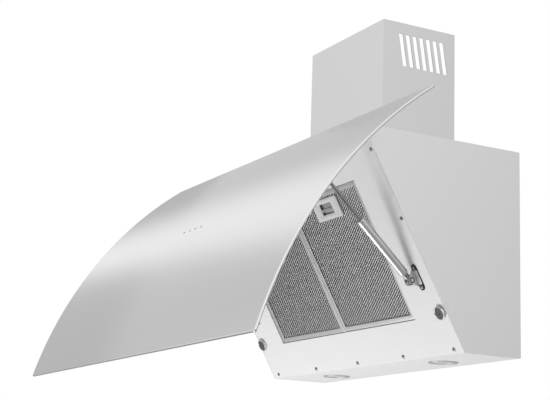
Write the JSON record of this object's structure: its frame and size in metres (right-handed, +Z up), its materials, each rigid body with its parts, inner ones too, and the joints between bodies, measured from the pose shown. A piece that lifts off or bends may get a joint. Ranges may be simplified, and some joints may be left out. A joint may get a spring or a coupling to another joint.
{
  "type": "wall mount range hood",
  "caption": "Slanted wall mount range hood with a chimney cover, a gas-strut curved front panel, grease filters, lamps and a blower with a flap damper.",
  "frame": {"origin": "centre of the four wall bolts, on the back panel's rear face, which is the wall plane", "axes": "+X across the hood to the viewer's right, +Y into the wall, +Z up"},
  "size_m": [0.9, 0.5714, 0.6358],
  "materials": {
    "brushed_panel": "brushed stainless steel sheet, grain across the hood",
    "white_face": "satin pale powder coat",
    "sheet_steel": "galvanised sheet, dull",
    "screws": "zinc plated screws",
    "dark_metal": "dark plated steel",
    "moulding": "moulded plastic",
    "aluminium_frame": "mill aluminium, lightly brushed",
    "aluminium_mesh": "expanded aluminium mesh",
    "latch_metal": "pressed satin latch plate",
    "strut_tube": "grey lacquered tube",
    "strut_rod": "ground and plated rod",
    "lamp_trim": "brushed ring",
    "lamp_lens": "frosted lens",
    "magnet_cup": "pale moulded cup",
    "magnet": "bare ferrite",
    "key_print": "etched marks"
  },
  "bodies": {
    "housing": {"back_panel": "sheet_steel", "left_side_panel": "brushed_panel", "right_side_panel": "brushed_panel", "top_panel": "sheet_steel", "bottom_panel": "brushed_panel", "face_panel": "white_face", "face_screws": "screws", "foot_screws": "screws", "chimney_cover": "brushed_panel", "chimney_bracket": "sheet_steel", "chimney_screws": "screws", "outlet_collar": "sheet_steel", "damper_pin": "sheet_steel", "blower_scroll": "sheet_steel", "inlet_rings": "sheet_steel", "motor_mount": "sheet_steel", "motor": "dark_metal", "control_box": "moulding", "control_box_lid": "sheet_steel", "cable_gland": "moulding", "lamp_bezel_left": "lamp_trim", "lamp_bezel_right": "lamp_trim", "lamp_lens_left": "lamp_lens", "lamp_lens_right": "lamp_lens", "lamp_cans": "moulding", "magnet_cup_left": "magnet_cup", "magnet_cup_right": "magnet_cup", "magnet_discs": "magnet", "hinge_bracket_left": "sheet_steel", "hinge_bracket_right": "sheet_steel", "hinge_pins": "sheet_steel", "strut_foot_left": "dark_metal", "strut_foot_right": "dark_metal"},
    "panel": {"curved_panel": "brushed_panel", "panel_rail": "sheet_steel", "touch_marks": "key_print", "touch_board_box": "moulding", "keeper_posts": "sheet_steel", "hinge_arm_left": "sheet_steel", "hinge_arm_right": "sheet_steel", "strut_head_left": "dark_metal", "strut_head_right": "dark_metal"},
    "tube_left": {"strut_tube_left": "strut_tube"},
    "rod_left": {"strut_rod_left": "strut_rod"},
    "filter_left": {"filter_frame_left": "aluminium_frame", "filter_mesh_left": "aluminium_mesh", "latch_plate_left": "latch_metal"},
    "latch_left": {"latch_slider_left": "aluminium_frame"},
    "tube_right": {"strut_tube_right": "strut_tube"},
    "rod_right": {"strut_rod_right": "strut_rod"},
    "filter_right": {"filter_frame_right": "aluminium_frame", "filter_mesh_right": "aluminium_mesh", "latch_plate_right": "latch_metal"},
    "latch_right": {"latch_slider_right": "aluminium_frame"},
    "wheel": {"impeller": "moulding", "motor_shaft": "sheet_steel"},
    "flap_front": {"damper_flap_front": "moulding"},
    "flap_rear": {"damper_flap_rear": "moulding"}
  },
  "joints": [
    {"name": "panel_swing", "type": "hinge", "parent": "housing", "child": "panel", "pos_m": [0, -0.3025, 0.166], "axis": [1, 0, 0], "range_deg": [0, 62], "stiffness_Nm_per_rad": 8, "springref_deg": -74.48},
    {"name": "strut_pivot_left", "type": "hinge", "parent": "housing", "child": "tube_left", "pos_m": [-0.27, -0.19326, -0.06081], "axis": [1, 0, 0], "range_deg": [-14.5, 0]},
    {"name": "strut_stroke_left", "type": "slide", "parent": "tube_left", "child": "rod_left", "axis": [0, -0.7388, 0.6739], "range_m": [-0.0842, 0]},
    {"name": "strut_pivot_right", "type": "hinge", "parent": "housing", "child": "tube_right", "pos_m": [0.27, -0.19326, -0.06081], "axis": [1, 0, 0], "range_deg": [-14.5, 0]},
    {"name": "strut_stroke_right", "type": "slide", "parent": "tube_right", "child": "rod_right", "axis": [0, -0.7388, 0.6739], "range_m": [-0.0842, 0]},
    {"name": "filter_tilt_left", "type": "hinge", "parent": "housing", "child": "filter_left", "pos_m": [-0.11175, -0.14783, -0.1114], "axis": [-1, 0, 0], "range_deg": [-45, 0]},
    {"name": "latch_pull_left", "type": "slide", "parent": "filter_left", "child": "latch_left", "axis": [0, 0.498, -0.8672], "range_m": [0, 0.005], "stiffness_N_per_m": 500, "springref_m": -0.004},
    {"name": "filter_tilt_right", "type": "hinge", "parent": "housing", "child": "filter_right", "pos_m": [0.11175, -0.14783, -0.1114], "axis": [-1, 0, 0], "range_deg": [-45, 0]},
    {"name": "latch_pull_right", "type": "slide", "parent": "filter_right", "child": "latch_right", "axis": [0, 0.498, -0.8672], "range_m": [0, 0.005], "stiffness_N_per_m": 500, "springref_m": -0.004},
    {"name": "wheel_spin", "type": "hinge", "parent": "housing", "child": "wheel", "pos_m": [0, -0.12, 0.07], "axis": [1, 0, 0], "continuous": true},
    {"name": "flap_lift_front", "type": "hinge", "parent": "housing", "child": "flap_front", "pos_m": [0, -0.0785, 0.195], "axis": [-1, 0, 0], "range_deg": [0, 75]},
    {"name": "flap_lift_rear", "type": "hinge", "parent": "housing", "child": "flap_rear", "pos_m": [0, -0.0785, 0.195], "axis": [1, 0, 0], "range_deg": [0, 75]}
  ],
  "couplings": [
    {"joint": "strut_pivot_left", "follows": "panel_swing", "ratio": -0.23137},
    {"joint": "strut_stroke_left", "follows": "panel_swing", "m_per_rad": -0.07756},
    {"joint": "strut_pivot_right", "follows": "panel_swing", "ratio": -0.23137},
    {"joint": "strut_stroke_right", "follows": "panel_swing", "m_per_rad": -0.07756}
  ]
}
